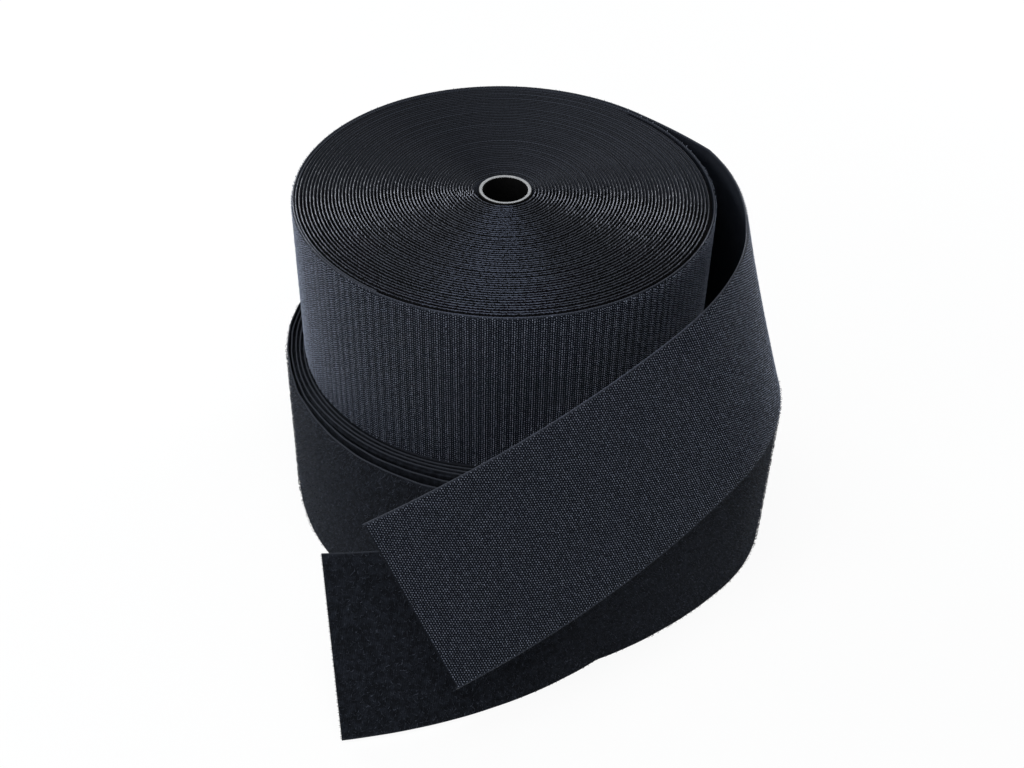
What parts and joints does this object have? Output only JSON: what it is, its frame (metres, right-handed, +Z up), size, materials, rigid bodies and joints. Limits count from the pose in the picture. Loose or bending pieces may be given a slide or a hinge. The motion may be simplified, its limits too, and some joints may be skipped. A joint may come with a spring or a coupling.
{
  "type": "hook and loop tape roll",
  "caption": "Wide roll of hook tape stacked on a roll of loop tape, each wound on a plastic core with a free end drawn round to the front, for cutting lengths of reusable fastener.",
  "frame": {"origin": "on the floor, at the middle of the box round the rolls and their free ends", "axes": "+Z up along both cores, -Y towards the free ends at the front, +X to the right as seen from the front"},
  "size_m": [0.287, 0.3482, 0.208],
  "materials": {
    "hook_tape": "woven nylon with rows of stiff hooks, slight sheen",
    "loop_tape": "brushed nylon loops, matte",
    "core_plastic": "smooth, satin"
  },
  "bodies": {
    "loop_outer_turn": {"loop_outer_turn": "loop_tape"},
    "loop_roll": {"loop_core": "core_plastic", "loop_winding": "loop_tape"},
    "loop_free_end": {"loop_free_end": "loop_tape"},
    "hook_outer_turn": {"hook_outer_turn": "hook_tape"},
    "hook_roll": {"hook_core": "core_plastic", "hook_winding": "hook_tape"},
    "hook_free_end": {"hook_free_end": "hook_tape"}
  },
  "joints": [
    {"name": "loop_roll_turn", "type": "hinge", "parent": "loop_outer_turn", "child": "loop_roll", "pos_m": [-0.01595, 0.04596, 0.05], "axis": [0, 0, 1], "continuous": true},
    {"name": "loop_end_swing", "type": "hinge", "parent": "loop_outer_turn", "child": "loop_free_end", "pos_m": [0.11539, -0.05812, 0.05], "axis": [0, 0, -1], "range_deg": [0, 10], "stiffness_Nm_per_rad": 0.05},
    {"name": "hook_roll_lift", "type": "slide", "parent": "loop_outer_turn", "child": "hook_outer_turn", "axis": [0, 0, 1], "range_m": [0, 0.12]},
    {"name": "hook_roll_turn", "type": "hinge", "parent": "hook_outer_turn", "child": "hook_roll", "pos_m": [-0.01595, 0.04596, 0.1503], "axis": [0, 0, 1], "continuous": true},
    {"name": "hook_end_swing", "type": "hinge", "parent": "hook_outer_turn", "child": "hook_free_end", "pos_m": [0.06388, 0.13134, 0.1503], "axis": [0, 0, 1], "range_deg": [0, 45], "stiffness_Nm_per_rad": 0.05}
  ]
}
